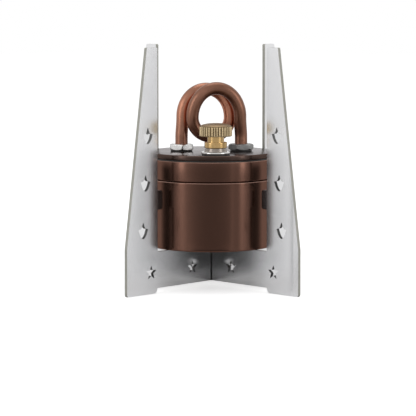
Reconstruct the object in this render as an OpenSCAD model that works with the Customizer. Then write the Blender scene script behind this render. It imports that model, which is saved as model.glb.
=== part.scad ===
// Alcohol burner with a looped vapour coil, standing in a cross stand of two flat plates.
// The burner's axis is Z and the floor is at z = 0. The lower plate lies along X, the upper one
// along Y, and each is notched halfway so that their crossbars cross flush with each other.

/* [Stand plates] */
// Thickness of the sheet that both plates are cut from
plate_t = 2; // [1.5:0.1:3]
// Height of the pot rests above the floor
stand_h = 137.3; // [125:0.1:160]
// Distance from the axis to the outer edge of a foot
foot_reach = 67.6; // [64:0.1:80]
// Width of a foot at the floor
foot_w = 23.2; // [18:0.1:26]
// Height up to which a leg's outer edge stays upright, before it leans inwards
foot_edge_h = 26.4; // [24:0.1:40]
// Width of a leg at its pot rest
leg_top_w = 8; // [6:0.1:12]
// Distance from the axis to the inner edge of a leg
leg_inner = 44; // [42.5:0.1:46]
// Height of the crossbar's lower edge above the floor
bar_low = 2.9; // [2:0.1:8]
// Height of the crossbar
bar_h = 20.5; // [18:0.1:28]
// Play on each side of a plate in the other one's slot
slot_play = 0.15; // [0.05:0.05:0.4]
// Height of the nub that centres the burner
nub_h = 10.7; // [6:0.1:16]
// How far the nub stands out of the leg's inner edge
nub_out = 3.9; // [2:0.1:5.4]
// Height of the nub's lower edge above the crossbar
nub_low = 23.6; // [14:0.1:40]

/* [Cut patterns in the plates] */
// Distance from a star's centre to its tips
star_r = 4.2; // [2.5:0.1:5]
// Height of the stars' centres above the crossbar's lower edge
star_up = 9.1; // [7:0.1:12]
// Distance from the axis to the inner stars
star_near = 16.5; // [12:0.1:24]
// Distance from the axis to the outer stars
star_far = 49.1; // [36:0.1:54]
// Width of a drop-shaped hole
drop_w = 7.4; // [4:0.1:8]
// Height of a drop-shaped hole
drop_h = 9.3; // [6:0.1:14]
// Height of the lowest drop's centre above the floor
drop_low = 36; // [34:0.1:44]
// Distance from one drop to the next
drop_step = 26.3; // [16:0.1:30]
// Number of drops in a leg
drop_count = 3; // [1:1:3]

/* [Tank] */
// Outer diameter of the tank and its lid
burner_d = 72; // [70:0.1:78]
// Height of the fuel cup up to the seam
cup_h = 38.8; // [30:0.1:60]
// Wall of the cup and of the cover above its thread
tank_wall = 3; // [2.4:0.1:4]
// Thickness of the cup's floor
cup_floor = 2.5; // [1.5:0.1:5]
// Height of the threaded rim on the cup
rim_h = 7; // [5:0.1:9]
// Wall of the threaded rim
rim_wall = 1.5; // [1:0.1:2]
// Thickness of the flat seal on the rim
cup_seal_t = 0.8; // [0.5:0.1:1.5]
// Gap that the closed seam leaves open outside
seam_gap = 0.3; // [0.2:0.1:0.6]
// Height of the cover above the seam
cover_h = 11.1; // [10:0.1:20]
// Thickness of the seal under the lid
lid_seal_t = 0.6; // [0.4:0.1:1.2]
// Thickness of the lid's rim
lid_t = 3; // [2:0.1:5]
// Length of the lid's threaded plug
lid_plug_h = 3.4; // [2:0.1:3.6]
// Bevel on the tank's edges
tank_bevel = 0.6; // [0.2:0.1:1]

/* [Vapour coil] */
// Outer diameter of the copper tube
tube_d = 7.2; // [6:0.1:8]
// Wall of the tube
tube_wall = 0.75; // [0.5:0.05:1]
// Distance between the tube's two legs at the nuts, centre to centre
leg_span = 33.9; // [32:0.1:36]
// How far the two legs stand apart across the loop, centre to centre
leg_stagger = 2.4; // [1.8:0.1:5]
// Distance between the outer feet of the two arches, centre to centre
arch_span = 32.4; // [31:0.1:34]
// Width of the loop, centre to centre
loop_w = 22.2; // [18:0.1:23]
// Height above the lid at which the legs pass into the arches and the arches into the loop
arch_up = 19.5; // [18:0.1:30]
// Rise of the front arch above that height
arch_rise = 16.6; // [14:0.1:19]
// How much lower the rear arch is
rear_arch_low = 0.8; // [0:0.1:2]
// Drop of the loop below that height
loop_drop = 11.1; // [9:0.1:12]
// Distance between the front and rear turns, centre to centre
turn_pitch = 10.1; // [10:0.1:12]
// Length of straight tube above a nut, before the leg bends sideways
leg_straight = 3.6; // [1:0.1:4]
// Height of the tube's open ends above the cup's floor
tube_end_up = 4; // [3:0.1:12]
// Diameter of the jet hole in the bottom of the loop
jet_d = 1; // [0.5:0.1:1.5]
// Diameter of the wicks
wick_d = 5.2; // [4:0.1:5.6]
// How far the wicks hang out of the tube's ends
wick_out = 2.5; // [1:0.1:3]

/* [Coil fittings] */
// Thread diameter of the hollow studs that carry the tube
stud_d = 10; // [9.2:0.1:11]
// Diameter of a stud's flange below the lid
stud_flange_d = 14; // [12:0.1:18]
// Thickness of a stud's flange
stud_flange_t = 2; // [1:0.1:3]
// Diameter of the black washers under the nuts
washer_d = 12.4; // [11.2:0.1:16]
// Thickness of the washers
washer_t = 0.8; // [0.5:0.1:1.5]
// Width of the nuts across their flats
nut_af = 13; // [12:0.1:17]
// Height of the nuts
nut_h = 3.4; // [3:0.1:6]

/* [Filler] */
// Distance from the axis to the filler
filler_out = 26.3; // [24:0.1:27]
// Diameter of the filler neck's flange
neck_flange_d = 16.2; // [14:0.1:17]
// Thickness of the flange
neck_flange_t = 1.2; // [0.8:0.1:2]
// Thickness of the gasket under the flange
neck_gasket_t = 0.6; // [0.4:0.1:1.2]
// Diameter of the neck just above the flange
neck_foot_d = 12.8; // [12:0.1:13.6]
// Diameter of the neck at its top
neck_top_d = 11.4; // [11:0.1:12]
// Height of the neck above its flange
neck_h = 2.2; // [1.8:0.1:5]
// Diameter of the thread that screws into the lid
neck_thread_d = 10; // [9.4:0.1:10.4]
// Diameter of the cap's stud
cap_stud_d = 7.9; // [7:0.1:8.2]
// Length of the cap's stud
cap_stud_l = 7; // [5:0.1:8]
// Thickness of the seal under the cap
cap_seal_t = 1; // [0.6:0.1:1.4]
// Diameter of the cap's collar
collar_d = 12.7; // [11:0.1:14]
// Height of the collar
collar_h = 3.1; // [2:0.1:5]
// Diameter of the cap's waist
waist_d = 9.4; // [8.4:0.1:11]
// Height of the waist
waist_h = 3.3; // [2:0.1:6]
// Diameter of the knurled head
head_d = 18.4; // [14:0.1:20]
// Height of the knurled head
head_h = 5.5; // [4:0.1:8]
// Rise of the domed top above the knurl
dome_h = 1.9; // [0.6:0.1:3]
// Number of knurls
knurl_count = 36; // [30:2:60]
// Depth of the knurls
knurl_t = 0.3; // [0.2:0.05:0.5]

/* [Hidden] */

// Overrun of every cut past the face that it leaves
cut = 1;
// Play of each thread, on the radius
thread_play = 0.05;
// Round of a pot rest's corners
rest_round = 0.8;
// Round of a foot's outer corner
foot_round = 1.3;
// Round of a foot's inner corner
foot_inner_round = 2.2;
// Blend where a leg starts to lean
lean_round = 8;
// Small rounds in the inner corners of a plate
inner_round = 0.8;
// Round of the nub's corners
nub_round = 1.4;
// Steps in each round of a plate's outline
round_steps = 5;
// Turn of the burner in the stand, against the lower plate
burner_turn = 49.5;
// Turn of each nut, left and right, where it was tightened
nut_turns = [28, 7];
// Sweep of the sine that leads the coil's turns past each other
lead_sweep = 140;
// Half turns of the coil: rear arch, loop and front arch
half_turns = 3;
// Steps in each half turn, in each leg's bend, and round the tube
half_turn_steps = 12;
leg_bend_steps = 4;
tube_sides = 12;
// Points in each half turn and leg on which the coil's gap to itself is measured
gap_steps = 30;
// Bevel of small turned parts
small_bevel = 0.3;
// Bevel of the nuts' corners, along their height
nut_bevel = 0.7;
// Play of the wicks' tops below the bend in the legs
wick_stop = 1;

// Heights, from the floor up
bar_top = bar_low + bar_h;
cup_floor_z = bar_top + cup_floor;
seam_z = bar_top + cup_h;
rim_top = seam_z + rim_h;
shoulder_z = rim_top + cup_seal_t;
cover_low = seam_z + seam_gap;
cover_top = cover_low + cover_h;
lid_low = cover_top + lid_seal_t;
lid_top = lid_low + lid_t;
plug_low = lid_low - lid_plug_h;
nut_low = lid_top + washer_t;
nut_top = nut_low + nut_h;
neck_flange_low = lid_top + neck_gasket_t;
neck_low = neck_flange_low + neck_flange_t;
neck_top = neck_low + neck_h;
collar_top = neck_top + collar_h;
head_low = collar_top + waist_h;
head_top = head_low + head_h;
arch_z = lid_top + arch_up;
tube_end_z = cup_floor_z + tube_end_up;
bend_z = nut_top + leg_straight;

// Radii of the tank's pieces
burner_r = burner_d / 2;
bore_r = burner_r - tank_wall;
rim_r = bore_r + rim_wall;

// The coil: half the spans of its legs, arches and loop, and half the width of an arch
leg_x = leg_span / 2;
arch_foot_x = arch_span / 2;
loop_x = loop_w / 2;
arch_r = (arch_foot_x + loop_x) / 2;
arch_x = (arch_foot_x - loop_x) / 2;
leg_drop = arch_z - tube_end_z;
leg_bend = arch_z - bend_z;
// Where a leg passes into its arch: its place to the front or rear, and how steeply it leads on
leg_lead = turn_pitch / 2 * sin(lead_sweep);
leg_slope = -turn_pitch * lead_sweep / 180 / half_turns / arch_rise * cos(lead_sweep);

// Half outline of a drop from its tip down, as shares of its half width and height
drop_shares = [
    [0, 0.5], [0.13, 0.4], [0.22, 0.28], [0.33, 0.18], [0.55, 0.11], [1, 0.08],
    [0.88, -0.04], [0.74, -0.2], [0.5, -0.36], [0.2, -0.47], [0, -0.5]
];
// Radius of a star's inner corners, as a share of its tips' radius
star_inner_share = 0.42;

// Points of a fillet of radius c[2] at corner c, between corners b and d
function fillet(b, c, d) =
    let (
        p = [c[0], c[1]],
        u = [b[0], b[1]] - p,
        v = [d[0], d[1]] - p,
        un = u / norm(u),
        vn = v / norm(v),
        half = acos(un * vn) / 2,
        mid = (un + vn) / norm(un + vn),
        centre = p + mid * c[2] / sin(half),
        from = p + un * c[2] / tan(half) - centre,
        to = p + vn * c[2] / tan(half) - centre,
        start = atan2(from[1], from[0]),
        swing = atan2(to[1], to[0]) - start,
        turn = swing > 180 ? swing - 360 : swing < -180 ? swing + 360 : swing
    )
    [for (i = [0:round_steps]) let (a = start + turn * i / round_steps)
        centre + c[2] * [cos(a), sin(a)]];

// Outline through corners [x, y, radius], each rounded by its own radius
function rounded(corners) =
    let (n = len(corners))
    [for (i = [0:n - 1]) each
        fillet(corners[(i + n - 1) % n], corners[i], corners[(i + 1) % n])];

// Half of a plate's outline, from the foot's inner corner up and over to the crossbar
plate_half = [
    [foot_reach - foot_w, bar_low, inner_round],
    [foot_reach - foot_w, 0, foot_inner_round],
    [foot_reach, 0, foot_round],
    [foot_reach, foot_edge_h, lean_round],
    [leg_inner + leg_top_w, stand_h, rest_round],
    [leg_inner, stand_h, rest_round],
    [leg_inner, bar_top + nub_low + nub_h, inner_round],
    [leg_inner - nub_out, bar_top + nub_low + nub_h, nub_round],
    [leg_inner - nub_out, bar_top + nub_low, nub_round],
    [leg_inner, bar_top + nub_low, inner_round],
    [leg_inner, bar_top, inner_round]
];
plate_outline = rounded(concat(
    plate_half,
    [for (i = [len(plate_half) - 1:-1:0]) [-plate_half[i][0], plate_half[i][1], plate_half[i][2]]]
));

star_outline = [for (i = [0:9]) let (r = i % 2 == 0 ? star_r : star_r * star_inner_share)
    r * [sin(36 * i), cos(36 * i)]];

drop_outline = concat(
    [for (p = drop_shares) [p[0] * drop_w / 2, p[1] * drop_h]],
    [for (i = [len(drop_shares) - 2:-1:1]) [-drop_shares[i][0] * drop_w / 2, drop_shares[i][1] * drop_h]]
);

// Outer edge of a leg at a height, where it leans
function leg_edge(z) =
    foot_reach - (foot_reach - leg_inner - leg_top_w) * (z - foot_edge_h) / (stand_h - foot_edge_h);

// A cut through a plate that stands in the XZ plane
module through_plate(outline)
    rotate([90, 0, 0]) linear_extrude(plate_t + 2 * cut, center = true) polygon(outline);

// Plate in the XZ plane, with its stars and drops but no slot
module stand_plate() {
    difference() {
        rotate([90, 0, 0]) linear_extrude(plate_t, center = true) polygon(plate_outline);
        for (side = [-1, 1]) {
            for (x = [star_near, star_far])
                translate([side * x, 0, bar_low + star_up]) through_plate(star_outline);
            for (i = [0:drop_count - 1]) {
                z = drop_low + i * drop_step;
                translate([side * (leg_inner + leg_edge(z)) / 2, 0, z]) through_plate(drop_outline);
            }
        }
    }
}

// Slot for the other plate, from half the crossbar's height to past one of its edges
module half_slot(upwards) {
    slot_w = plate_t + 2 * slot_play;
    slot_h = bar_h / 2 + cut;
    translate([-slot_w / 2, -slot_w / 2, upwards ? bar_low + bar_h / 2 : bar_low - cut])
        cube([slot_w, slot_w, slot_h]);
}

module stand_plate_lower() {
    color([0.76, 0.76, 0.77]) difference() {
        stand_plate();
        half_slot(true);
    }
}

module stand_plate_upper() {
    color([0.72, 0.72, 0.73]) difference() {
        rotate([0, 0, 90]) stand_plate();
        half_slot(false);
    }
}

// The burner's own frame: its coil's legs lie along X and the filler on its -Y side
module burner_frame()
    rotate([0, 0, burner_turn]) children();

module at_coil_legs()
    for (i = [0, 1]) translate((2 * i - 1) * [leg_x, -leg_stagger / 2, 0])
        rotate([0, 0, nut_turns[i]]) children();

module at_filler()
    translate([0, -filler_out, 0]) children();

// A turned part, from the points of its section [radius, height]
module turned(section)
    rotate_extrude($fn = 96) polygon(section);

// A flat ring
module ring(inner_r, outer_r, low, high)
    turned([[inner_r, low], [outer_r, low], [outer_r, high], [inner_r, high]]);

module fuel_cup() {
    color([0.38, 0.27, 0.22]) burner_frame() turned([
        [0, bar_top],
        [burner_r - tank_bevel, bar_top],
        [burner_r, bar_top + tank_bevel],
        [burner_r, seam_z - tank_bevel],
        [burner_r - tank_bevel, seam_z],
        [rim_r, seam_z],
        [rim_r, rim_top - small_bevel],
        [rim_r - small_bevel, rim_top],
        [bore_r, rim_top],
        [bore_r, cup_floor_z],
        [0, cup_floor_z]
    ]);
}

module cup_seal() {
    color([0.1, 0.1, 0.1]) burner_frame()
        ring(bore_r + small_bevel / 2, rim_r - small_bevel, rim_top, shoulder_z);
}

module tank_cover() {
    color([0.36, 0.26, 0.21]) burner_frame() turned([
        [rim_r + thread_play, cover_low],
        [burner_r - small_bevel, cover_low],
        [burner_r, cover_low + small_bevel],
        [burner_r, cover_top - small_bevel],
        [burner_r - small_bevel, cover_top],
        [bore_r, cover_top],
        [bore_r, shoulder_z],
        [rim_r + thread_play, shoulder_z]
    ]);
}

module lid_seal() {
    color([0.08, 0.08, 0.08]) burner_frame()
        ring(bore_r + small_bevel, burner_r - tank_bevel, cover_top, lid_low);
}

module lid() {
    color([0.2, 0.17, 0.16]) burner_frame() difference() {
        turned([
            [0, plug_low],
            [bore_r - thread_play, plug_low],
            [bore_r - thread_play, lid_low],
            [burner_r - tank_bevel, lid_low],
            [burner_r, lid_low + tank_bevel],
            [burner_r, lid_top - small_bevel],
            [burner_r - small_bevel, lid_top],
            [0, lid_top]
        ]);
        at_coil_legs() translate([0, 0, plug_low - cut])
            cylinder(r = stud_d / 2 + thread_play, h = lid_top - plug_low + 2 * cut, $fn = 64);
        at_filler() translate([0, 0, plug_low - cut])
            cylinder(r = neck_thread_d / 2 + thread_play, h = lid_top - plug_low + 2 * cut, $fn = 64);
    }
}

// Hollow studs: flange under the lid's plug, thread up to the top of the nut
module coil_studs() {
    color([0.75, 0.75, 0.75]) burner_frame() at_coil_legs() turned([
        [tube_d / 2 + thread_play, plug_low - stud_flange_t],
        [stud_flange_d / 2, plug_low - stud_flange_t],
        [stud_flange_d / 2, plug_low],
        [stud_d / 2, plug_low],
        [stud_d / 2, nut_top],
        [tube_d / 2 + thread_play, nut_top]
    ]);
}

module coil_washers() {
    color([0.05, 0.05, 0.05]) burner_frame() at_coil_legs()
        ring(stud_d / 2 + thread_play, washer_d / 2, lid_top, nut_low);
}

module coil_nuts() {
    corner_r = nut_af / sqrt(3);
    color([0.8, 0.8, 0.8]) burner_frame() at_coil_legs() difference() {
        intersection() {
            translate([0, 0, nut_low]) cylinder(r = corner_r, h = nut_h, $fn = 6);
            turned([
                [0, nut_low],
                [nut_af / 2, nut_low],
                [corner_r, nut_low + nut_bevel],
                [corner_r, nut_top - nut_bevel],
                [nut_af / 2, nut_top],
                [0, nut_top]
            ]);
        }
        translate([0, 0, nut_low - cut])
            cylinder(r = stud_d / 2 + thread_play, h = nut_h + 2 * cut, $fn = 64);
    }
}

// Place of a leg a distance below its arch: across the burner, and towards front or rear
function leg_place(drop) =
    let (
        t = max(0, 1 - drop / leg_bend),
        blend = 3 * t * t - 2 * t * t * t,
        half_stagger = leg_stagger / 2
    )
    [
        leg_x + (arch_foot_x - leg_x) * blend,
        half_stagger + (leg_lead - half_stagger) * blend + leg_slope * leg_bend * (t * t * t - t * t)
    ];

// Place of the turns towards front or rear
function turn_y(u) = turn_pitch / 2 * sin(lead_sweep * (1 - 2 * u / half_turns));

// Centre line of the tube, with u counting half turns: up the left leg until 0, over behind,
// under, over in front, and from 3 down the right leg until 4
function coil_at(u) =
    u <= 0 ? let (drop = -u * leg_drop, place = leg_place(drop))
        [-place[0], place[1], arch_z - drop] :
    u <= 1 ? let (a = 180 * (1 - u))
        [-arch_x + arch_r * cos(a), turn_y(u), arch_z + (arch_rise - rear_arch_low) * sin(a)] :
    u <= 2 ? let (a = 180 * (1 - u))
        [loop_x * cos(a), turn_y(u), arch_z + loop_drop * sin(a)] :
    u <= half_turns ? let (a = 180 * (half_turns - u))
        [arch_x + arch_r * cos(a), turn_y(u), arch_z + arch_rise * sin(a)] :
    let (drop = (u - half_turns) * leg_drop, place = leg_place(drop))
        [place[0], -place[1], arch_z - drop];

// Places along the coil at which the tube has a ring of points
bend_share = leg_bend / leg_drop;
coil_stations = concat(
    [-1],
    [for (i = [leg_bend_steps:-1:1]) -bend_share * i / leg_bend_steps],
    [for (i = [0:half_turns * half_turn_steps]) i / half_turn_steps],
    [for (i = [1:leg_bend_steps]) half_turns + bend_share * i / leg_bend_steps],
    [half_turns + 1]
);

// Ring of points round the centre line, square to it
function tube_ring(u, r) =
    let (
        ahead = coil_at(u + 0.001) - coil_at(u - 0.001),
        t = ahead / norm(ahead),
        side = [0, 1, 0] - t[1] * t,
        along = side / norm(side),
        across = cross(t, along)
    )
    [for (k = [0:tube_sides - 1]) let (a = 360 * k / tube_sides)
        coil_at(u) + r * (along * cos(a) + across * sin(a))];

// The tube's skins, outside and inside, joined by a ring at each end
module bent_tube(outer_r, inner_r) {
    n = len(coil_stations);
    m = tube_sides;
    points = concat(
        [for (u = coil_stations) each tube_ring(u, outer_r)],
        [for (u = coil_stations) each tube_ring(u, inner_r)]
    );
    skin = [for (i = [0:n - 2]) for (k = [0:m - 1])
        let (a = i * m + k, b = i * m + (k + 1) % m) [a, b, a + m, b + m]];
    faces = concat(
        [for (q = skin) each [[q[0], q[1], q[2]], [q[1], q[3], q[2]]]],
        [for (q = skin) each [[q[0] + n * m, q[2] + n * m, q[1] + n * m],
            [q[1] + n * m, q[2] + n * m, q[3] + n * m]]],
        [for (k = [0:m - 1]) let (j = (k + 1) % m) each
            [[k, k + n * m, j], [j, k + n * m, j + n * m]]],
        [for (k = [0:m - 1]) let (j = (k + 1) % m, e = (n - 1) * m) each
            [[e + k, e + j, e + k + n * m], [e + j, e + j + n * m, e + k + n * m]]]
    );
    polyhedron(points, faces);
}

module vapour_coil() {
    color([0.52, 0.33, 0.24]) burner_frame() difference() {
        bent_tube(tube_d / 2, tube_d / 2 - tube_wall);
        translate(coil_at(half_turns / 2)) cylinder(d = jet_d, h = tube_d / 2 + cut, $fn = 16);
    }
}

module leg_wicks() {
    wick_low = tube_end_z - wick_out;
    color([0.92, 0.9, 0.84]) burner_frame() at_coil_legs() translate([0, 0, wick_low])
        cylinder(d = wick_d, h = bend_z - wick_stop - wick_low, $fn = 32);
}

module neck_gasket() {
    color([0.05, 0.05, 0.05]) burner_frame() at_filler()
        ring(neck_thread_d / 2 + thread_play, neck_flange_d / 2 - small_bevel, lid_top, neck_flange_low);
}

module filler_neck() {
    bore = cap_stud_d / 2 + thread_play;
    recess = neck_top_d / 2 - 2 * small_bevel;
    color([0.8, 0.8, 0.8]) burner_frame() at_filler() turned([
        [bore, plug_low],
        [neck_thread_d / 2, plug_low],
        [neck_thread_d / 2, neck_flange_low],
        [neck_flange_d / 2 - small_bevel, neck_flange_low],
        [neck_flange_d / 2, neck_flange_low + small_bevel],
        [neck_flange_d / 2, neck_low - small_bevel],
        [neck_flange_d / 2 - small_bevel, neck_low],
        [neck_foot_d / 2, neck_low],
        [neck_top_d / 2, neck_top],
        [recess, neck_top],
        [recess, neck_top - cap_seal_t],
        [bore, neck_top - cap_seal_t]
    ]);
}

module cap_seal() {
    color([0.05, 0.05, 0.05]) burner_frame() at_filler()
        ring(cap_stud_d / 2 + thread_play, neck_top_d / 2 - 3 * small_bevel,
            neck_top - cap_seal_t, neck_top);
}

// Section of a straight-knurled head
knurl_outline = [for (i = [0:2 * knurl_count - 1])
    let (a = 180 * i / knurl_count, r = head_d / 2 - (i % 2) * knurl_t) r * [cos(a), sin(a)]];

module filler_cap() {
    core_r = head_d / 2 - 2 * knurl_t;
    dome_r = (core_r * core_r + dome_h * dome_h) / (2 * dome_h);
    dome_swing = asin(core_r / dome_r);
    dome = [for (i = [round_steps:-1:0]) let (a = dome_swing * i / round_steps)
        [dome_r * sin(a), head_top + dome_h - dome_r + dome_r * cos(a)]];
    color([0.72, 0.6, 0.4]) burner_frame() at_filler() union() {
        turned(concat([
            [0, neck_top - cap_stud_l],
            [cap_stud_d / 2, neck_top - cap_stud_l],
            [cap_stud_d / 2, neck_top],
            [collar_d / 2 - small_bevel, neck_top],
            [collar_d / 2, neck_top + small_bevel],
            [collar_d / 2, collar_top - small_bevel],
            [collar_d / 2 - small_bevel, collar_top],
            [waist_d / 2, collar_top],
            [waist_d / 2, head_low],
            [core_r, head_low]
        ], dome));
        translate([0, 0, head_low + small_bevel])
            linear_extrude(head_h - 2 * small_bevel) polygon(knurl_outline);
    }
}

// Least gap of the coil to itself, between points at least half a half turn apart
gap_turns = [for (i = [0:half_turns * gap_steps]) coil_at(i / gap_steps)];
gap_legs = [for (i = [0:gap_steps]) [coil_at(-i / gap_steps), coil_at(half_turns + i / gap_steps)]];
gap_last = len(gap_turns) - 1;
gap_apart = gap_steps / 2;
coil_gap = min([for (i = [0:gap_last - gap_apart])
    for (j = [i + gap_apart:gap_last]) norm(gap_turns[i] - gap_turns[j])]) - tube_d;
leg_gap = min([for (legs = gap_legs) for (i = [gap_apart:gap_last])
    min(norm(legs[0] - gap_turns[i]), norm(legs[1] - gap_turns[gap_last - i]))]) - tube_d;
echo(coil_gap = coil_gap, leg_gap = leg_gap);

stand_plate_lower();
stand_plate_upper();
fuel_cup();
cup_seal();
tank_cover();
lid_seal();
lid();
coil_studs();
coil_washers();
coil_nuts();
vapour_coil();
leg_wicks();
neck_gasket();
filler_neck();
cap_seal();
filler_cap();
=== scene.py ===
"""Looks of an alcohol burner with a looped vapour coil, standing in a cross stand of two plates."""
import math

import bmesh
import bpy
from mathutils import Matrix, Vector


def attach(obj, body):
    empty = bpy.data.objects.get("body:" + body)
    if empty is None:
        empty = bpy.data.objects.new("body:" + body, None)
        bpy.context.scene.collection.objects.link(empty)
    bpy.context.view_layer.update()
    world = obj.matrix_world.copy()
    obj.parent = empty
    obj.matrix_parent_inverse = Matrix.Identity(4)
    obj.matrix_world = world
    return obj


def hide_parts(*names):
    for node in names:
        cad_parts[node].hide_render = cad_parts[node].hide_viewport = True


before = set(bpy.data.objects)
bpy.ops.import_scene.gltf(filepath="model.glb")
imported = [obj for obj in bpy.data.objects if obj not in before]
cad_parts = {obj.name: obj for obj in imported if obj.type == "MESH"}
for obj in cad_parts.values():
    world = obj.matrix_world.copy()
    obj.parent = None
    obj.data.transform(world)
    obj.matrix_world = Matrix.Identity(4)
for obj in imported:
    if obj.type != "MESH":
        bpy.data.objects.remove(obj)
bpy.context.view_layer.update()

# Camera: the view of the photograph, through a long lens a little above the lid, looking between
# two legs of the stand. The shift keeps the uprights upright, as the photograph has them.
MM = 0.001
VIEW_TURN = math.radians(44.1)
VIEW_REACH = 1180.13 * MM
VIEW_HEIGHT = 173.25 * MM
AIM_HEIGHT = 69.65 * MM
SENSOR_WIDTH = 36
FOCAL_LENGTH = 179.27
SHIFT_X, SHIFT_Y = -0.0079, -0.1055
CLIP_NEAR, CLIP_FAR = 0.01, 20


def placed(name, data):
    """A new object of the scene, from its mesh, camera or lamp."""
    thing = bpy.data.objects.new(name, data)
    bpy.context.scene.collection.objects.link(thing)
    return thing


def aimed(thing, height):
    """Turns a camera or lamp towards a height on the stove's axis."""
    aim = Vector((0, 0, height)) - thing.location
    thing.rotation_euler = aim.to_track_quat("-Z", "Y").to_euler()


lens = bpy.data.cameras.new("camera")
lens.sensor_width = SENSOR_WIDTH
lens.lens = FOCAL_LENGTH
lens.shift_x, lens.shift_y = SHIFT_X, SHIFT_Y
lens.clip_start, lens.clip_end = CLIP_NEAR, CLIP_FAR
camera = placed("camera", lens)
camera.location = (math.sin(VIEW_TURN) * VIEW_REACH, -math.cos(VIEW_TURN) * VIEW_REACH, VIEW_HEIGHT)
aimed(camera, AIM_HEIGHT)
bpy.context.scene.camera = camera


# Stand plates: two plates of 2 mm stainless sheet, laser cut with stars and drops. Each is notched
# halfway, and they slide together into a cross. The faces are satin, and the cut edges are duller
# and striped.
EDGE_BREAK = 0.16 * MM
EDGE_ANGLE = math.radians(50)
FLAT_ANGLE = math.radians(1)
FACING_SHARE = 0.9
WELD = 0.002 * MM
CUT_OUT_HEIGHT = 20 * MM
EDGE_INDEX, CUT_OUT_INDEX = 1, 2


class Wire:
    """An output of a node. Arithmetic on it adds Math nodes."""

    def __init__(self, nodes, socket):
        self.nodes = nodes
        self.socket = socket

    def _math(self, operation, first, second=0.0, clamp=False):
        return self.nodes.node("ShaderNodeMath", {"operation": operation, "use_clamp": clamp},
                               {0: first, 1: second})

    def __add__(self, other):
        return self._math("ADD", self, other)

    __radd__ = __add__

    def __sub__(self, other):
        return self._math("SUBTRACT", self, other)

    def __rsub__(self, other):
        return self._math("SUBTRACT", other, self)

    def __mul__(self, other):
        return self._math("MULTIPLY", self, other)

    __rmul__ = __mul__

    def __truediv__(self, other):
        return self._math("DIVIDE", self, other)

    def __rtruediv__(self, other):
        return self._math("DIVIDE", other, self)

    def __pow__(self, other):
        return self._math("POWER", self, other)

    def __rpow__(self, other):
        return self._math("POWER", other, self)

    def __abs__(self):
        return self._math("ABSOLUTE", self)

    def clamped(self):
        return self._math("ADD", self, 0.0, clamp=True)

    def over(self, level, softness):
        """0 below the level and 1 above it, with a soft step between."""
        return ((self - level) / softness + 0.5).clamped()


class Nodes:
    """The nodes of a material or of the world, and the last one, which the others feed."""

    def __init__(self, tree, last):
        self.tree = tree
        self.last = tree.nodes[last]

    def node(self, kind, settings=None, inputs=None, output=0):
        """Any node: its type, its settings, and the values or wires of its sockets."""
        made = self.tree.nodes.new(kind)
        for name, value in (settings or {}).items():
            setattr(made, name, value)
        for name, value in (inputs or {}).items():
            self._plug(made.inputs[name], value)
        return Wire(self, made.outputs[output])

    def feed(self, **sockets):
        """Values or wires for the last node's sockets, with _ for a space in their names."""
        for name, value in sockets.items():
            self._plug(self.last.inputs[name.replace("_", " ")], value)

    def _plug(self, socket, value):
        if isinstance(value, Wire):
            self.tree.links.new(value.socket, socket)
        else:
            socket.default_value = value


class Finish(Nodes):
    """A material: one Principled shader, its fixed values, and the nodes that vary it."""

    def __init__(self, name, **fixed):
        self.material = bpy.data.materials.new(name)
        self.material.use_nodes = True
        super().__init__(self.material.node_tree, "Principled BSDF")
        self.feed(**fixed)

    def place(self):
        return self.node("ShaderNodeTexCoord", output="Object")

    def stretched(self, share):
        """The place on the piece, scaled along each axis."""
        return self.node("ShaderNodeVectorMath", {"operation": "MULTIPLY"},
                         {0: self.place(), 1: share})

    def along(self, direction, vector=None):
        """How far the place on the piece, or another vector, reaches in a direction."""
        return self.node("ShaderNodeVectorMath", {"operation": "DOT_PRODUCT"},
                         {0: vector or self.place(), 1: direction}, output="Value")

    def height(self):
        return self.along((0, 0, 1))

    def reach(self, x=0.0, y=0.0):
        """How far the place on the piece is from an upright axis."""
        return self.node("ShaderNodeVectorMath", {"operation": "DISTANCE"},
                         {0: self.stretched((1, 1, 0)), 1: (x, y, 0)}, output="Value")

    def noise(self, scale, detail, share=(1, 1, 1)):
        return self.node("ShaderNodeTexNoise", {},
                         {"Vector": self.stretched(share), "Scale": scale, "Detail": detail})

    def blend(self, share, low, high):
        """A colour between two, by a share."""
        return self.node("ShaderNodeMix", {"data_type": "RGBA"},
                         {0: share, 6: self._colour(low), 7: self._colour(high)}, output=2)

    @staticmethod
    def _colour(value):
        return value if isinstance(value, Wire) else (*value, 1)

    def bump(self, height, depth):
        """Relief of a real depth, in metres, from a height of 0 to 1."""
        self.feed(Normal=self.node("ShaderNodeBump", {}, {"Distance": depth, "Height": height}))


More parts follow.
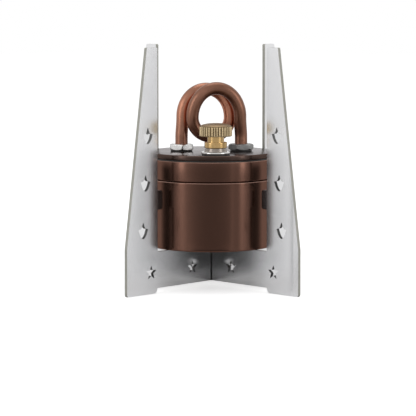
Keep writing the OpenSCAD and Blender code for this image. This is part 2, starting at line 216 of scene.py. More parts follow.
def sheet_finish(name):
    """Satin rolled sheet with fine upright grain and faint clouds from polishing.

    Painted shade darkens the joint of the plates and the crossbars, most of it low in the
    middle, and the nubs and the legs beside the cup.
    """
    finish = Finish(name, Metallic=1.0)
    grain = finish.noise(5200, 2.0, (1, 1, 0.05))
    clouds = finish.noise(45, 3.0)
    specks = finish.noise(1400, 2.0)
    steel = finish.blend(grain * 0.35 + clouds * 0.65, (0.84, 0.84, 0.852), (0.93, 0.93, 0.938))
    reach, height = finish.reach(), finish.height()
    # Painted shade in the joint, on the crossbars and low in the middle.
    joint = 1 - reach.over(1.8 * MM, 0.6 * MM)
    middle = 1 - reach.over(14 * MM, 20 * MM)
    crossbar = 1 - reach.over(38 * MM, 14 * MM)
    low = 1 - height.over(12 * MM, 16 * MM)
    painted_shade = joint * 0.6 + crossbar * 0.27 + middle * (low - 0.5) * 0.5
    # Painted shade on the nubs and on the legs beside the cup.
    nub = 1 - reach.over(44 * MM, 0.6 * MM)
    margin = 1 - reach.over(46.5 * MM, 7 * MM)
    beside_cup = height.over(25 * MM, 2 * MM) - height.over(74 * MM, 4 * MM)
    painted_shade_by_cup = beside_cup * (margin * 0.42 + nub * 0.3)
    shaded_steel = finish.blend(painted_shade, steel, (0.03, 0.03, 0.03))
    finish.feed(Base_Color=finish.blend(painted_shade_by_cup, shaded_steel, (0.03, 0.03, 0.036)),
                Roughness=grain * 0.08 + clouds * 0.06 + specks * 0.04 + 0.10)
    finish.bump(grain * 0.6 + specks * 0.4, 0.002 * MM)
    return finish.material


def edge_finish(name, stripe_share, dark, light):
    """Laser-cut edge: duller than the faces, with fine stripes across the sheet."""
    finish = Finish(name, Metallic=1.0)
    stripes = finish.noise(3800, 2.0, stripe_share)
    oxide = finish.noise(220, 3.0)
    finish.feed(Base_Color=finish.blend(stripes * 0.5 + oxide * 0.5, dark, light),
                Roughness=stripes * 0.2 + 0.36)
    finish.bump(stripes, 0.03 * MM)
    return finish.material


def applied(piece):
    """Writes a piece's modifiers into its mesh."""
    bpy.context.view_layer.update()
    final = piece.evaluated_get(bpy.context.evaluated_depsgraph_get())
    mesh = bpy.data.meshes.new_from_object(final)
    piece.modifiers.clear()
    piece.data = mesh
    mesh.name = piece.name


def rims(work, normal):
    """The runs of side faces round a sheet: its outline, and each of its cut-outs."""
    left = {face for face in work.faces if abs(face.normal[normal]) < FACING_SHARE}
    while left:
        rim = grown = {left.pop()}
        while grown:
            near = {face for old in grown for edge in old.edges for face in edge.link_faces}
            grown = near & left
            left -= grown
            rim = rim | grown
        yield rim


def plate(name, node, body, normal, *finishes):
    """A plate from its CAD solid, with broken edges. Finishes: faces, outline and cut-outs."""
    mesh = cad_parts[node].data.copy()
    work = bmesh.new()
    work.from_mesh(mesh)
    bmesh.ops.remove_doubles(work, verts=work.verts, dist=WELD)
    bmesh.ops.dissolve_limit(work, angle_limit=FLAT_ANGLE, verts=work.verts, edges=work.edges)
    for rim in rims(work, normal):
        heights = [vert.co.z for face in rim for vert in face.verts]
        small = max(heights) - min(heights) < CUT_OUT_HEIGHT
        for face in rim:
            face.material_index = CUT_OUT_INDEX if small else EDGE_INDEX
    mesh.materials.clear()
    for finish in finishes:
        mesh.materials.append(finish)
    work.to_mesh(mesh)
    work.free()
    for face in mesh.polygons:
        face.use_smooth = True
    piece = placed(name, mesh)
    rounding = piece.modifiers.new("edges", "BEVEL")
    rounding.width = EDGE_BREAK
    rounding.segments = 2
    rounding.limit_method = "ANGLE"
    rounding.angle_limit = EDGE_ANGLE
    piece.modifiers.new("normals", "WEIGHTED_NORMAL").keep_sharp = True
    applied(piece)
    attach(piece, body)
    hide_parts(node)


satin_sheet = sheet_finish("satin_sheet")
for name, node, body, normal in (("lower_plate", "stand_plate_lower", "stand_lower", 1),
                                 ("upper_plate", "stand_plate_upper", "stand_upper", 0)):
    stripe_share = (normal, 1 - normal, 1)
    # The cut-outs' edges are a darker copy of the outline's: painted shade inside the holes.
    plate(name, node, body, normal, satin_sheet,
          edge_finish(f"{name}_edge", stripe_share, (0.24, 0.24, 0.215), (0.40, 0.395, 0.36)),
          edge_finish(f"{name}_cut_out", stripe_share, (0.02, 0.02, 0.02), (0.22, 0.22, 0.215)))


# Fuel cup: the reservoir, turned from aluminium and anodised brown outside, with a thread on its
# thin upper rim. It stands on the crossbars, and four nubs on the legs keep it centred. The sizes
# of this piece and of all later ones are in mm.
BURNER_TURN = math.radians(49.5)
BURNER_R = 36.0
BAR_TOP = 23.4
CUP_FLOOR = 25.9
SEAM = 62.2
RIM_TOP = 69.2
BORE_R = 33.0
RIM_R = 34.5
TANK_BEVEL = 0.6
TANK_SIDES = 160
SEAT_ROOM = 0.02
HEAD_PITCH = 1.5
HEAD_THREAD = (SEAM + 0.6, RIM_TOP - 0.4)
HEAD_THREAD_DEPTH = 0.5
HEAD_THREAD_STEP = 0.25
ON_AXIS = 1e-6
SAME_R = 0.01


def in_burner(x, y, z=0.0):
    """A point of the burner's own frame, as a point of the stand's frame."""
    return (x * math.cos(BURNER_TURN) - y * math.sin(BURNER_TURN),
            x * math.sin(BURNER_TURN) + y * math.cos(BURNER_TURN), z)


def eased(section, radius=0.25, steps=3, most_share=0.45):
    """A section [(radius, height)] with its corners rounded, except on the axis.

    A round takes no more than a share of the shorter side beside it.
    """
    points = []
    for i, (r, z) in enumerate(section):
        if r < ON_AXIS:
            points.append((r, z))
            continue
        here = Vector((r, z))
        before, after = (Vector(section[j % len(section)]) - here for j in (i - 1, i + 1))
        reach = min(radius, before.length * most_share, after.length * most_share)
        start, end = here + before.normalized() * reach, here + after.normalized() * reach
        for k in range(steps + 1):
            t = k / steps
            points.append(tuple(start * (1 - t) ** 2 + here * (2 * t * (1 - t)) + end * t ** 2))
    return points


def band(work, low, high):
    """A band of faces between two rings of corners. On the axis, a ring is one corner."""
    around = max(len(low), len(high))
    if around == 1:
        return
    for k in range(around):
        places = (low, k), (low, k + 1), (high, k + 1), (high, k)
        corners = [ring[j % len(ring)] for ring, j in places]
        work.faces.new(tuple(dict.fromkeys(corners)))


def piece_of(name, work):
    """A new piece from a mesh in the making."""
    bmesh.ops.recalc_face_normals(work, faces=work.faces)
    mesh = bpy.data.meshes.new(name)
    work.to_mesh(mesh)
    work.free()
    return placed(name, mesh)


def smoothed(piece, degrees=30):
    """Shades a piece smooth, but for edges sharper than an angle."""
    for face in piece.data.polygons:
        face.use_smooth = True
    piece.data.set_sharp_from_angle(angle=math.radians(degrees))
    return piece


def turned(name, section, sides, centres=((0.0, 0.0, 0.0),), relief=None, step=None):
    """Turned pieces with a closed section, at centres (x, y, turn) of the burner's frame.

    relief(r, z, angle) gives the radius where a piece isn't round, and step is the greatest height
    of a band of faces there.
    """
    rows = []
    for (r, z), (r2, z2) in zip(section, section[1:] + section[:1]):
        steps = 1
        if step and abs(z2 - z) > step and min(r, r2) > ON_AXIS:
            steps = math.ceil(abs(z2 - z) / step)
        rows += [(r + (r2 - r) * k / steps, z + (z2 - z) * k / steps) for k in range(steps)]
    work = bmesh.new()
    for x, y, turn in centres:
        middle_x, middle_y, _ = in_burner(x, y)
        rings = []
        for r, z in rows:
            ring = []
            for k in range(sides if r > ON_AXIS else 1):
                angle = 2 * math.pi * k / sides
                reach = relief(r, z, angle) if relief and r > ON_AXIS else r
                way = angle + turn + BURNER_TURN
                ring.append(work.verts.new(((middle_x + reach * math.cos(way)) * MM,
                                            (middle_y + reach * math.sin(way)) * MM, z * MM)))
            rings.append(ring)
        for ring, other in zip(rings, rings[1:] + rings[:1]):
            band(work, ring, other)
    return smoothed(piece_of(name, work))


def finished(piece, material, body, slot, *nodes):
    """Gives a piece its material, the body that carries it, and the CAD solids it stands for."""
    piece.data.materials.clear()
    piece.data.materials.append(material)
    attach(piece, body)
    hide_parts(*nodes)


def threaded(radius, low, high, pitch, depth, run_out=None):
    """Relief of a screw thread on a radius, between two heights.

    It fades in over one pitch, and out over the run-out, or else over one pitch too.
    """
    def relief(r, z, angle):
        if abs(r - radius) > SAME_R or not low < z < high:
            return r
        fade = min(1.0, (z - low) / pitch, (high - z) / (run_out or pitch))
        turn = (z / pitch - angle / (2 * math.pi)) % 1
        return r - depth * fade * abs(2 * turn - 1)
    return relief


def anodised(name, dark, light, roughness, highlit_edges=()):
    """Dyed aluminium with the fine lines of turning, and painted highlights at edges (height,
    width).
    """
    finish = Finish(name, Metallic=1.0, Specular_Tint=(0.55, 0.53, 0.52, 1))
    lines = finish.noise(7000, 2.0, (0.02, 0.02, 1))
    clouds = finish.noise(60, 4.0, (1, 1, 0.5))
    dust = finish.noise(2600, 2.0)
    tone = finish.blend(lines * 0.45 + clouds * 0.55, dark, light)
    for level, width in highlit_edges:
        # Painted highlight: a pale band along the edge.
        worn = (1 - abs(finish.height() - level * MM) / (width * MM)).clamped()
        tone = finish.blend(worn * (clouds * 0.8 + 0.4), tone, (0.42, 0.27, 0.22))
    finish.feed(Base_Color=tone, Roughness=lines * 0.08 + clouds * 0.05 + dust * 0.04 + roughness)
    finish.bump(lines * 0.7 + dust * 0.3, 0.005 * MM)
    return finish.material


# Painted highlights at the seam's bevel and at the cover's top edge.
brown = anodised("brown_anodised", (0.142, 0.072, 0.0525), (0.186, 0.095, 0.069), 0.15,
                 ((61.85, 0.4), (73.5, 0.35)))
cup_section = eased([
    (0, BAR_TOP), (BURNER_R - TANK_BEVEL, BAR_TOP), (BURNER_R, BAR_TOP + TANK_BEVEL),
    (BURNER_R, SEAM - TANK_BEVEL), (BURNER_R - TANK_BEVEL, SEAM), (RIM_R, SEAM),
    (RIM_R, RIM_TOP - SEAT_ROOM), (BORE_R, RIM_TOP - SEAT_ROOM), (BORE_R, CUP_FLOOR),
    (0, CUP_FLOOR)])
head_thread = threaded(RIM_R, *HEAD_THREAD, HEAD_PITCH, HEAD_THREAD_DEPTH)
cup = turned("cup", cup_section, TANK_SIDES, relief=head_thread, step=HEAD_THREAD_STEP)
finished(cup, brown, "tank", "brown_aluminium", "fuel_cup")


# Rim seal: a flat black rubber ring on top of the cup's rim, which the head is screwed down on.
# The lid's seal, the neck's gasket and the cap's seal are rings of the same rubber.
def rubber(name):
    """Black rubber with a trace of chalk."""
    finish = Finish(name, Roughness=0.5, Specular_IOR_Level=0.4)
    chalk = finish.noise(400, 3.0)
    finish.feed(Base_Color=finish.blend(chalk, (0.02, 0.019, 0.018), (0.04, 0.038, 0.036)))
    finish.bump(finish.noise(3000, 3.0), 0.02 * MM)
    return finish.material


def dressed(node, material):
    """Gives a CAD solid that stays in view its material."""
    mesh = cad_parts[node].data
    mesh.materials.clear()
    mesh.materials.append(material)


black_rubber = rubber("black_rubber")
for seal in ("cup_seal", "lid_seal", "neck_gasket", "cap_seal"):
    dressed(seal, black_rubber)


# Tank cover: the ring above the seam, of the same brown aluminium, threaded inside onto the cup's
# rim. A shadow line is left at the seam, and a thin wall goes up to the lid.
COVER_LOW = 62.5
SHOULDER = 70.0
COVER_TOP = 73.6
SEAM_BEVEL = 0.35
COVER_BEVEL = 0.3
PLAY = 0.05

cover_section = eased([
    (RIM_R + PLAY, COVER_LOW), (BURNER_R - SEAM_BEVEL, COVER_LOW),
    (BURNER_R, COVER_LOW + SEAM_BEVEL), (BURNER_R, COVER_TOP - COVER_BEVEL),
    (BURNER_R - COVER_BEVEL, COVER_TOP), (BORE_R, COVER_TOP), (BORE_R, SHOULDER),
    (RIM_R + PLAY, SHOULDER)], radius=0.15)
cover = turned("cover", cover_section, TANK_SIDES)
finished(cover, brown, "burner_head", "brown_aluminium", "tank_cover")


# Lid: the aluminium plate that closes the burner, anodised nearly black and polished on top. It has
# a threaded plug below, two holes for the coil's studs and one for the filler.
LID_LOW = 74.2
LID_TOP = 77.2
LID_BEVEL = 0.35
PLUG_LOW = 70.8
LEG_X = 16.95
LEG_STAGGER = 1.2
NUT_TURNS = math.radians(28), math.radians(7)
FILLER_OUT = 26.3
STUD_R = 5.0
STUD_SIDES = 64
NECK_THREAD_R = 5.0
THROUGH = 1.0
POLISHED_INDEX = 1

coil_legs = (-LEG_X, LEG_STAGGER, NUT_TURNS[0]), (LEG_X, -LEG_STAGGER, NUT_TURNS[1])
filler = ((0.0, -FILLER_OUT, 0.0),)


def bored(piece, centres, radius, low, high):
    """Drills upright holes into a piece."""
    drill = turned("drill", [(0, low), (radius, low), (radius, high), (0, high)],
                   STUD_SIDES, centres)
    cut = piece.modifiers.new("holes", "BOOLEAN")
    cut.operation = "DIFFERENCE"
    cut.solver = "EXACT"
    cut.object = drill
    applied(piece)
    bpy.data.objects.remove(drill)
    smoothed(piece)


def polished_dark(name):
    """Dark anodised top, with rings of turning round the axis and a few wipe marks."""
    finish = Finish(name, Metallic=1.0, Specular_Tint=(0.68, 0.67, 0.68, 1))
    rings = finish.node("ShaderNodeTexNoise", {"noise_dimensions": "1D"},
                        {"W": finish.reach(), "Scale": 5200, "Detail": 2.0})
    marks = finish.noise(70, 4.0)
    finish.feed(Base_Color=finish.blend(rings * 0.3 + marks * 0.7,
                                        (0.115, 0.085, 0.08), (0.16, 0.125, 0.12)),
                Roughness=rings * 0.06 + marks * 0.14 + 0.12)
    finish.bump(rings, 0.004 * MM)
    return finish.material


lid_section = eased([
    (0, PLUG_LOW), (BORE_R - PLAY, PLUG_LOW), (BORE_R - PLAY, LID_LOW),
    (BURNER_R - TANK_BEVEL, LID_LOW), (BURNER_R, LID_LOW + TANK_BEVEL),
    (BURNER_R, LID_TOP - LID_BEVEL), (BURNER_R - LID_BEVEL, LID_TOP), (0, LID_TOP)], radius=0.15)
lid = turned("lid_disc", lid_section, TANK_SIDES)
bored(lid, coil_legs, STUD_R + PLAY, PLUG_LOW - THROUGH, LID_TOP + THROUGH)
bored(lid, filler, NECK_THREAD_R + PLAY, PLUG_LOW - THROUGH, LID_TOP + THROUGH)
finished(lid, anodised("dark_anodised", (0.070, 0.046, 0.038), (0.095, 0.064, 0.054), 0.14),
         "burner_head", "dark_aluminium", "lid")
lid.data.materials.append(polished_dark("polished_top"))
for face in lid.data.polygons:
    if face.normal.z > FACING_SHARE and face.center.z > (LID_TOP - LID_BEVEL) * MM:
        face.material_index = POLISHED_INDEX


# Coil studs and nuts: two hollow steel studs carry the copper tube through the lid. Each has a
# flange below and a fine thread, and a plated hex nut holds it on top of a black washer.
STUD_FLANGE_R = 7.0
STUD_FLANGE_T = 2.0
NUT_LOW = 78.0
NUT_TOP = 81.4
NUT_AF = 13.0
NUT_SIDES = 120
NUT_STEP = 0.12
NUT_BORE_R = STUD_R + PLAY
NUT_BORE_BEVELS = 0.1, 0.3
CORNER_R = NUT_AF / math.sqrt(3)
CORNER_SHARPNESS = 70
STUD_PITCH = 0.75
STUD_THREAD = (PLUG_LOW + 0.2, NUT_TOP - 0.1)
STUD_THREAD_DEPTH = 0.3
STUD_THREAD_STEP = 0.15
WASHER_R = 6.2
TUBE_R = 3.6


def plated(name):
    """Bright plating with faint haze and fine scratches; on the right, painted shade makes it a
    dull grey, and it is rougher there.
    """
    finish = Finish(name, Metallic=1.0)
    haze = finish.noise(380, 4.0)
    scratches = finish.noise(900, 3.0, (1, 1, 6))
    right = finish.along(in_burner(1, 0)).over(0.0, 1 * MM)
    tone = finish.blend(haze, (0.36, 0.36, 0.35), (0.56, 0.56, 0.55))
    # Painted shade: the right nut is darkened to a dull grey.
    finish.feed(Base_Color=finish.blend(right * 0.6, tone, (0.09, 0.09, 0.088)),
                Roughness=haze * 0.10 + scratches * 0.06 + right * 0.25 + 0.05)
    finish.bump(haze * 0.5 + scratches * 0.5, 0.012 * MM)
    return finish.material


bright = plated("bright_plating")
stud_section = eased([
    (TUBE_R + PLAY, PLUG_LOW - STUD_FLANGE_T), (STUD_FLANGE_R, PLUG_LOW - STUD_FLANGE_T),
    (STUD_FLANGE_R, PLUG_LOW), (STUD_R, PLUG_LOW), (STUD_R, NUT_TOP), (TUBE_R + PLAY, NUT_TOP)],
    radius=0.12)
fine_thread = threaded(STUD_R, *STUD_THREAD, STUD_PITCH, STUD_THREAD_DEPTH)
studs = turned("hollow_studs", stud_section, STUD_SIDES, coil_legs, relief=fine_thread,
               step=STUD_THREAD_STEP)
finished(studs, bright, "burner_head", "bright_steel", "coil_studs")

washer_section = eased([
    (NUT_BORE_R, LID_TOP), (WASHER_R, LID_TOP), (WASHER_R, NUT_LOW), (NUT_BORE_R, NUT_LOW)])
washers = turned("washers", washer_section, STUD_SIDES, coil_legs)
finished(washers, black_rubber, "burner_head", "black_rubber", "coil_washers")


def hexagon(r, z, angle):
    """Six flats with slightly soft corners. The bore and the end faces stay round."""
    flats = sum(max(0.0, math.cos(angle - math.pi / 3 * (k + 0.5))) ** CORNER_SHARPNESS
                for k in range(6))
    return min(r, NUT_AF / 2 / flats ** (1 / CORNER_SHARPNESS))


# A nut's outside from an end face inwards, as (radius, distance from the face). Its corners are
# turned off to a cone.
nut_end = [(NUT_AF / 2 - 0.5, 0), (NUT_AF / 2 - 0.2, 0.05), (NUT_AF / 2, 0.15),
           (CORNER_R - 0.2, 0.7), (CORNER_R, 1.0)]
low_bevel, top_bevel = NUT_BORE_BEVELS
nut_section = [(NUT_BORE_R, NUT_LOW + low_bevel), (NUT_BORE_R + low_bevel, NUT_LOW)]
nut_section += [(r, NUT_LOW + up) for r, up in nut_end]
nut_section += [(r, NUT_TOP - down) for r, down in reversed(nut_end)]
nut_section += [(NUT_BORE_R + top_bevel, NUT_TOP), (NUT_BORE_R, NUT_TOP - top_bevel)]
nuts = turned("nuts", nut_section, NUT_SIDES, coil_legs, relief=hexagon, step=NUT_STEP)
finished(nuts, bright, "burner_head", "bright_steel", "coil_nuts")


# Vapour coil: one length of soft copper tube, soldered into the studs. It rises on the left, loops
# one and a half times and goes down on the right. The jet hole is on top of the loop's lowest
# point.
TUBE_WALL = 0.75
LEG_SPAN = 33.9
ARCH_SPAN = 32.4
LOOP_W = 22.2
ARCH_Z = 96.7
ARCH_RISE = 16.6
REAR_LOW = 0.8
LOOP_DROP = 11.1
TURN_PITCH = 10.1
BEND_Z = 85.0
TUBE_END = 29.9
LEAD_SWEEP = 140.0
HALF_TURNS = 3
JET_R = 0.5

arch_foot, loop_half = ARCH_SPAN / 2, LOOP_W / 2
arch_half, arch_x = (arch_foot + loop_half) / 2, (arch_foot - loop_half) / 2
leg_drop, leg_bend = ARCH_Z - TUBE_END, ARCH_Z - BEND_Z
leg_lead = TURN_PITCH / 2 * math.sin(math.radians(LEAD_SWEEP))
leg_slope = (-TURN_PITCH * LEAD_SWEEP / 180 / HALF_TURNS / ARCH_RISE
             * math.cos(math.radians(LEAD_SWEEP)))


def tube_at(u):
    """Centre of the tube at a station, in the burner's frame.

    The left leg rises from -1 to 0, the half turns are 0 to 3, and the right leg falls to 4.
    """
    if u <= 0 or u >= HALF_TURNS:
        drop = (-u if u <= 0 else u - HALF_TURNS) * leg_drop
        t = max(0.0, 1 - drop / leg_bend)
        ease = 3 * t * t - 2 * t ** 3
        x = LEG_SPAN / 2 + (arch_foot - LEG_SPAN / 2) * ease
        y = LEG_STAGGER + (leg_lead - LEG_STAGGER) * ease + leg_slope * leg_bend * (t ** 3 - t * t)
        side = -1 if u <= 0 else 1
        return Vector((side * x, -side * y, ARCH_Z - drop))
    y = TURN_PITCH / 2 * math.sin(math.radians(LEAD_SWEEP * (1 - 2 * u / HALF_TURNS)))
    if u <= 1:
        a = math.pi * (1 - u)
        rise = ARCH_RISE - REAR_LOW
        return Vector((-arch_x + arch_half * math.cos(a), y, ARCH_Z + rise * math.sin(a)))
    if u <= 2:
        a = math.pi * (1 - u)
        return Vector((loop_half * math.cos(a), y, ARCH_Z + LOOP_DROP * math.sin(a)))
    a = math.pi * (HALF_TURNS - u)
    return Vector((arch_x + arch_half * math.cos(a), y, ARCH_Z + ARCH_RISE * math.sin(a)))


def bent_tube(name, sides=32, turn_steps=44, bend_steps=12, near=0.001):
    """The tube's outer and inner skins along its centre line, joined at the open ends."""
    straight = [1.0, 0.7, 0.45]
    bend = [leg_bend / leg_drop * k / bend_steps for k in range(bend_steps, 0, -1)]
    stations = [-u for u in straight + bend]
    stations += [k / turn_steps for k in range(HALF_TURNS * turn_steps + 1)]
    stations += [HALF_TURNS + u for u in reversed(straight + bend)]
    work = bmesh.new()
    skins = []
    for radius in (TUBE_R, TUBE_R - TUBE_WALL):
        rings = []
        for u in stations:
            ahead = (tube_at(u + near) - tube_at(u - near)).normalized()
            side = (Vector((0, 1, 0)) - ahead * ahead.y).normalized()
            across = ahead.cross(side)
            ring = []
            for k in range(sides):
                a = 2 * math.pi * k / sides
                point = tube_at(u) + radius * (side * math.cos(a) + across * math.sin(a))
                ring.append(work.verts.new([part * MM for part in in_burner(*point)]))
            rings.append(ring)
        for low, high in zip(rings, rings[1:]):
            band(work, low, high)
        skins.append(rings)
    outer, inner = skins
    for end in (0, -1):
        band(work, outer[end], inner[end])
    return piece_of(name, work)


def heated_copper(name):
    """Copper tube browned by the flames in the front, with painted orange reflections where the
    tubes face each other.
    """
    finish = Finish(name, Metallic=1.0)
    skin = finish.noise(110, 4.0, (1, 1, 0.6))
    patches = finish.noise(45, 3.0)
    specks = finish.noise(700, 2.0).over(0.70, 0.08)
    height = finish.height()
    depth = finish.along(in_burner(0, 1))
    right = finish.along(in_burner(1, 0)).over(-2 * MM, 16 * MM)
    facing = finish.along(in_burner(0, 1), finish.node("ShaderNodeTexCoord", output="Normal"))
    # Painted reflection: orange on the back of the front tube and on the front of the rear one,
    # more on the right and lower down.
    back_reflection = facing.over(0.1, 0.8) * (1 - depth.over(0.0, 3 * MM))
    front_reflection = ((1 - facing.over(-0.1, 0.8)) * depth.over(0.5 * MM, 3 * MM)
            * (1 - height.over(108 * MM, 12 * MM) * 0.7) * (right * 0.5 + 0.5))
    mottle = (skin * 0.5 + patches * 0.5).over(0.5, 0.35)
    browned = finish.blend(mottle, (0.145, 0.070, 0.046), (0.28, 0.138, 0.094))
    reflected_orange = finish.blend(mottle, (0.38, 0.155, 0.095), (0.76, 0.33, 0.205))
    tone = finish.blend(back_reflection, finish.blend(front_reflection, browned, reflected_orange), (0.70, 0.29, 0.165))
    finish.feed(Base_Color=finish.blend(specks * 0.35, tone, (0.10, 0.05, 0.035)),
                Roughness=skin * 0.12 + specks * 0.15 + 0.27)
    finish.bump(skin * 0.5 + finish.noise(500, 3.0) * 0.5, 0.008 * MM)
    return finish.material


coil = bent_tube("copper_tube")
jet = tube_at(HALF_TURNS / 2)
bored(coil, ((jet.x, jet.y, 0.0),), JET_R, jet.z, jet.z + TUBE_R + THROUGH)
finished(coil, heated_copper("heated_copper"), "burner_head", "copper", "vapour_coil")


# Wicks: braided cotton cords, pushed up into both legs of the tube. Their ends hang out into the
# fuel. They keep their plain CAD shape, and the braid is in their material.
def cotton(name):
    """Off-white cotton with slanting strands."""
    finish = Finish(name, Roughness=0.95)
    strands = finish.node("ShaderNodeTexWave", {"bands_direction": "DIAGONAL"},
                          {"Vector": finish.place(), "Scale": 420, "Distortion": 2.0,
                           "Detail": 2.0})
    finish.feed(Base_Color=finish.blend(strands, (0.68, 0.63, 0.52), (0.90, 0.87, 0.79)))
    finish.bump(strands, 0.2 * MM)
    return finish.material


dressed("leg_wicks", cotton("cotton_wick"))


# Filler neck: a steel cone on a plated flange, screwed into the lid on a gasket. The cap's stud
# screws into it.
NECK_FLANGE_R = 8.1
NECK_FLANGE_LOW = 77.8
NECK_FLANGE_BEVEL = 0.3
NECK_LOW = 79.0
NECK_TOP = 81.2
NECK_FOOT_R = 6.4
NECK_TOP_R = 5.7
NECK_LIP = 0.6
NECK_SIDES = 96
NECK_PITCH = 1.0
NECK_THREAD = (PLUG_LOW + 0.2, NECK_FLANGE_LOW - 0.3)
NECK_THREAD_DEPTH = 0.35
NECK_THREAD_STEP = 0.2
CAP_STUD_R = 3.95
CAP_SEAL_T = 1.0


def stepped_plating(name):
    """Satin on the cone, and mirror bright on the flange."""
    finish = Finish(name, Metallic=1.0)
    haze = finish.noise(380, 4.0)
    cone = finish.height().over((NECK_LOW + 0.15) * MM, 0.2 * MM)
    flange_tone = finish.blend(haze, (0.62, 0.62, 0.61), (0.80, 0.80, 0.79))
    cone_tone = finish.blend(haze, (0.19, 0.165, 0.145), (0.30, 0.265, 0.24))
    finish.feed(Base_Color=finish.blend(cone, flange_tone, cone_tone),
                Roughness=cone * 0.15 + haze * 0.10 + 0.05)
    finish.bump(haze, 0.012 * MM)
    return finish.material


seal_low = NECK_TOP - CAP_SEAL_T - SEAT_ROOM
neck_section = eased([
    (CAP_STUD_R + PLAY, PLUG_LOW), (NECK_THREAD_R, PLUG_LOW), (NECK_THREAD_R, NECK_FLANGE_LOW),
    (NECK_FLANGE_R - NECK_FLANGE_BEVEL, NECK_FLANGE_LOW),
    (NECK_FLANGE_R, NECK_FLANGE_LOW + NECK_FLANGE_BEVEL),
    (NECK_FLANGE_R, NECK_LOW - NECK_FLANGE_BEVEL),
    (NECK_FLANGE_R - NECK_FLANGE_BEVEL, NECK_LOW), (NECK_FOOT_R, NECK_LOW),
    (NECK_TOP_R, NECK_TOP), (NECK_TOP_R - NECK_LIP, NECK_TOP), (NECK_TOP_R - NECK_LIP, seal_low),
    (CAP_STUD_R + PLAY, seal_low)])
neck_thread = threaded(NECK_THREAD_R, *NECK_THREAD, NECK_PITCH, NECK_THREAD_DEPTH)
neck = turned("neck", neck_section, NECK_SIDES, filler, relief=neck_thread, step=NECK_THREAD_STEP)
finished(neck, stepped_plating("satin_neck"), "burner_head", "bright_steel", "filler_neck")


# Filler cap: a turned brass screw cap. It has a knurled head with a low dome, a waist, a collar
# that closes on the neck, and a threaded stud.
CAP_LOW = 74.2
COLLAR_TOP = 84.3
HEAD_LOW = 87.6
HEAD_TOP = 93.1
DOME_TOP = 95.0
COLLAR_R = 6.35
WAIST_R = 4.7
HEAD_R = 9.2
DOME_R = 8.65
DOME_STEPS = 8
STUD_END_BEVEL = 0.4
HEAD_LOW_BEVEL = 0.35
HEAD_TOP_BEVEL = 0.3
CAP_STEP = 0.22
CAP_PITCH = 1.25
CAP_THREAD = (CAP_LOW + 0.3, NECK_TOP - 0.2)
CAP_THREAD_DEPTH = 0.4
CAP_THREAD_RUN_OUT = 0.6
KNURLS = 36
KNURL_SIDES = 8
KNURL_ENDS = (HEAD_LOW + 0.1, HEAD_TOP + 0.05)
KNURL_DEPTH = 0.5
KNURL_NARROWNESS = 1.6
KNURL_RUN_OUT = 0.25

stud_thread = threaded(CAP_STUD_R, *CAP_THREAD, CAP_PITCH, CAP_THREAD_DEPTH, CAP_THREAD_RUN_OUT)


def knurled(r, z, angle):
    """Upright knurls on the head, run out at both ends, and the thread on the stud."""
    low, high = KNURL_ENDS
    if r <= DOME_R or z <= low:
        return stud_thread(r, z, angle)
    valley = (0.5 - 0.5 * math.cos(KNURLS * angle)) ** KNURL_NARROWNESS
    fade = max(0.0, min(1.0, (z - low) / KNURL_RUN_OUT, (high - z) / KNURL_RUN_OUT))
    return r - KNURL_DEPTH * valley * fade


def dull_brass(name):
    """Brass, bright on the waist and collar and dull on the head, where the crests are worn."""
    finish = Finish(name, Metallic=1.0)
    axis_x, axis_y, _ = in_burner(0, -FILLER_OUT)
    head = finish.height().over(HEAD_LOW * MM, 0.4 * MM)
    crown = finish.height().over((HEAD_TOP + 0.2) * MM, 0.4 * MM)
    crest = finish.reach(axis_x * MM, axis_y * MM).over((HEAD_R - 0.25) * MM, 0.3 * MM)
    grain = finish.noise(1500, 3.0)
    tarnish = finish.noise(260, 4.0)
    bright_tone = finish.blend(tarnish, (0.36, 0.225, 0.085), (0.66, 0.45, 0.21))
    crest_tone = finish.blend(tarnish, (0.38, 0.285, 0.16), (0.60, 0.475, 0.295))
    dull_tone = finish.blend(crest, (0.16, 0.115, 0.06), crest_tone)
    crown_tone = finish.blend(grain, (0.14, 0.095, 0.05), (0.38, 0.27, 0.16))
    finish.feed(Base_Color=finish.blend(crown, finish.blend(head, bright_tone, dull_tone),
                                        crown_tone),
                Roughness=head * 0.13 + grain * 0.12 + tarnish * 0.08 + crown * 0.15 + 0.04)
    finish.bump(grain * 0.6 + tarnish * 0.4, 0.02 * MM)
    return finish.material


cap_section = eased([
    (0, CAP_LOW), (CAP_STUD_R - STUD_END_BEVEL, CAP_LOW), (CAP_STUD_R, CAP_LOW + STUD_END_BEVEL),
    (CAP_STUD_R, NECK_TOP), (COLLAR_R, NECK_TOP), (COLLAR_R, COLLAR_TOP), (WAIST_R, COLLAR_TOP),
    (WAIST_R, HEAD_LOW), (HEAD_R - HEAD_LOW_BEVEL, HEAD_LOW), (HEAD_R, HEAD_LOW + HEAD_LOW_BEVEL),
    (HEAD_R, HEAD_TOP - HEAD_TOP_BEVEL), (HEAD_R - HEAD_TOP_BEVEL, HEAD_TOP)], radius=0.2)
dome_angles = [math.pi / 2 * k / DOME_STEPS for k in range(1, DOME_STEPS)]
dome_rise = DOME_TOP - HEAD_TOP
cap_section += [(DOME_R * math.cos(a), HEAD_TOP + dome_rise * math.sin(a)) for a in dome_angles]
cap_section += [(0, DOME_TOP)]
cap = turned("cap", cap_section, KNURLS * KNURL_SIDES, filler, relief=knurled, step=CAP_STEP)
finished(cap, dull_brass("dull_brass"), "stopper", "brass", "filler_cap")


# Studio: a white floor and surround, soft boxes in front at both sides and a large one overhead,
# with sizes in metres. Cards that glow a dark or mid grey stand before the stove, where only
# reflections see them, as flags do for photographing metal.
FLOOR_SIZE = 6.0
FLOOR_GLOW = 0.6
FLOOR_MIRRORED = 0.15
CARD_RIM = 0.75
CARD_TOP_FADE = 0.95, 0.1
LAMP_AIM = 0.07
SURROUND_LIGHT = 0.55
WHITE = (1, 1, 1, 1)
BLACK = (0, 0, 0, 1)


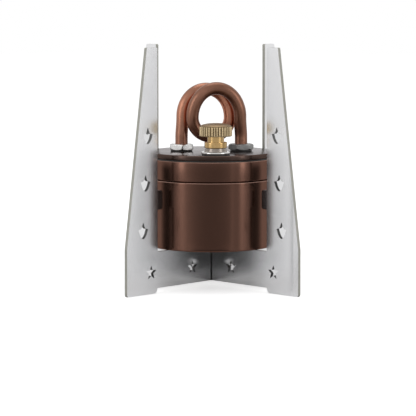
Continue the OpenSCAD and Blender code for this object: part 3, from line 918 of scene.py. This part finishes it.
def staged(name, corners, material):
    """A flat sheet of the studio, which isn't part of the stove."""
    mesh = bpy.data.meshes.new(name)
    mesh.from_pydata(corners, [], [(0, 1, 2, 3)])
    mesh.materials.append(material)
    thing = placed(name, mesh)
    return thing


def seen_by(nodes, rays):
    """1 for one kind of rays and 0 for all others."""
    return nodes.node("ShaderNodeLightPath", output=f"Is {rays} Ray")


paper = Finish("floor_paper", Base_Color=(0.8, 0.8, 0.8, 1), Roughness=1.0, Specular_IOR_Level=0.0,
               Emission_Strength=1.0)
seen = (seen_by(paper, "Camera") + seen_by(paper, "Transmission")).clamped()
paper.feed(Emission_Color=seen * FLOOR_GLOW + seen_by(paper, "Glossy") * FLOOR_MIRRORED)
half = FLOOR_SIZE / 2
staged("floor", [(-half, -half, 0), (half, -half, 0), (half, half, 0), (-half, half, 0)],
       paper.material)


def card(name, shade, softness, start, end, top):
    """A standing card that only reflections see: it glows a grey that fades out to its sides and
    its top.

    It stands between two spots of the floor, in mm from the stove's axis: to the right of the
    camera's view, and towards the camera.
    """
    right = Vector((math.cos(VIEW_TURN), math.sin(VIEW_TURN), 0))
    front = Vector((math.sin(VIEW_TURN), -math.cos(VIEW_TURN), 0))
    low = [(right * x + front * y) * MM for x, y in (start, end)]
    high = [foot + Vector((0, 0, top * MM)) for foot in low]
    grey = Finish(name, Base_Color=BLACK, Specular_IOR_Level=0.0, Emission_Strength=1.0)
    spot = grey.node("ShaderNodeTexCoord", output="Generated")
    across, up = grey.along((1, 0, 0), spot), grey.along((0, 0, 1), spot)
    sides = (1 - across * (1 - across) * 4) ** (1 / softness)
    fade = (sides + up.over(*CARD_TOP_FADE)).clamped()
    grey.feed(Emission_Color=fade * (CARD_RIM - shade) + shade)
    thing = staged(name, [low[0], low[1], high[1], high[0]], grey.material)
    thing.visible_camera = False
    thing.visible_diffuse = False
    thing.visible_shadow = False
    thing.visible_transmission = False


card("dark_front", 0.28, 0.9, (-46, 58), (50, 58), 80)
card("dim_front", 0.42, 0.6, (20, 46), (36, 46), 78)
card("flag_left", 0.03, 0.6, (-45, 18), (-45, 36), 76)
card("flag_right", 0.07, 0.6, (45, 18), (45, 37), 76)
card("low_middle", 0.0, 0.6, (-34, 57.5), (34, 57.5), 23)


def soft_box(name, turn, height, reach, width, tall, watts):
    """A soft box in metres, at an angle from the camera's side in degrees, aimed at the burner."""
    light = bpy.data.lights.new(name, "AREA")
    light.shape = "RECTANGLE"
    light.size = width
    light.size_y = tall
    light.energy = watts
    lamp = placed(name, light)
    a = math.radians(turn) - (math.pi / 2 - VIEW_TURN)
    lamp.location = (reach * math.cos(a), reach * math.sin(a), height)
    aimed(lamp, LAMP_AIM)


soft_box("box_left", -57.5, 0.40, 1.4, 0.6, 1.1, 4)
soft_box("box_right", 57.5, 0.40, 1.4, 0.6, 1.1, 4)
soft_box("box_top", 180, 1.6, 0.3, 1.2, 1.2, 6)

world = bpy.data.worlds.new("surround")
bpy.context.scene.world = world
world.use_nodes = True
world.cycles.sampling_method = "NONE"
world.node_tree.nodes.remove(world.node_tree.nodes["Background"])
surround = Nodes(world.node_tree, "World Output")
lighting = surround.node("ShaderNodeBackground", {}, {"Color": WHITE, "Strength": SURROUND_LIGHT})
backdrop = surround.node("ShaderNodeBackground", {}, {"Color": WHITE, "Strength": 1.0})
shown = (seen_by(surround, "Camera") + seen_by(surround, "Glossy")
         + seen_by(surround, "Transmission")).clamped()
surround.feed(Surface=surround.node("ShaderNodeMixShader", {},
                                    {"Fac": shown, 1: lighting, 2: backdrop}))

bpy.context.scene.view_settings.view_transform = "Standard"
